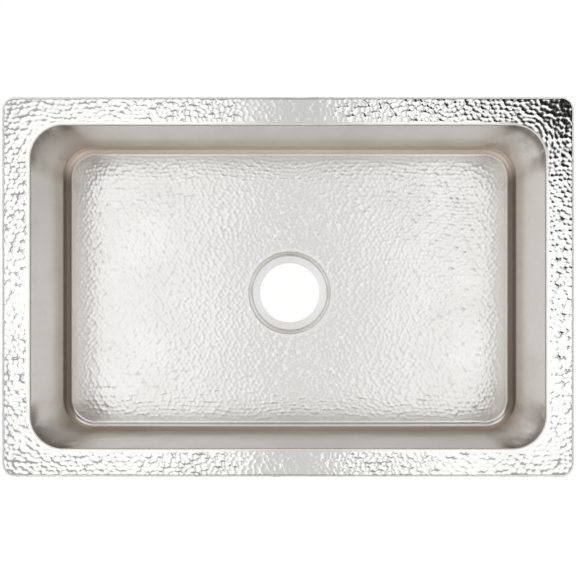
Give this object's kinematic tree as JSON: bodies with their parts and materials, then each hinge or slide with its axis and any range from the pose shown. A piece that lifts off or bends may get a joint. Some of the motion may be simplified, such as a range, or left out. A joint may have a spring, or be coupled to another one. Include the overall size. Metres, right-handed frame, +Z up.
{
  "type": "farmhouse apron front sink",
  "caption": "Single-bowl kitchen sink with a hammered rim, apron and floor, smooth walls and a recessed opening for a basket strainer.",
  "frame": {"origin": "centre of the sink's outline, on the plane that the sink stands on", "axes": "+X along the sink's length to the right, +Y from the apron to the back, +Z up; the apron faces -Y"},
  "size_m": [0.762, 0.506, 0.24],
  "materials": {
    "hammered_steel": "hammered and polished",
    "satin_steel": "satin",
    "plain_steel": "mill finish",
    "pad_rubber": "matt"
  },
  "bodies": {
    "root": {"deck_frame": "hammered_steel", "apron_front": "hammered_steel", "apron_return_left": "hammered_steel", "apron_return_right": "hammered_steel", "apron_foot_flange": "plain_steel", "apron_end_flange_left": "plain_steel", "apron_end_flange_right": "plain_steel", "apron_brace_left": "plain_steel", "apron_brace_centre": "plain_steel", "apron_brace_right": "plain_steel", "bowl_wall_left": "satin_steel", "bowl_wall_right": "satin_steel", "floor_pan": "satin_steel", "drain_dish": "satin_steel", "clip_brackets_left": "plain_steel", "clip_brackets_right": "plain_steel", "clip_brackets_back": "plain_steel", "wall_pad_left": "pad_rubber", "wall_pad_right": "pad_rubber", "wall_pad_back": "pad_rubber", "floor_pad_left": "pad_rubber", "floor_pad_right": "pad_rubber"}
  },
  "joints": []
}
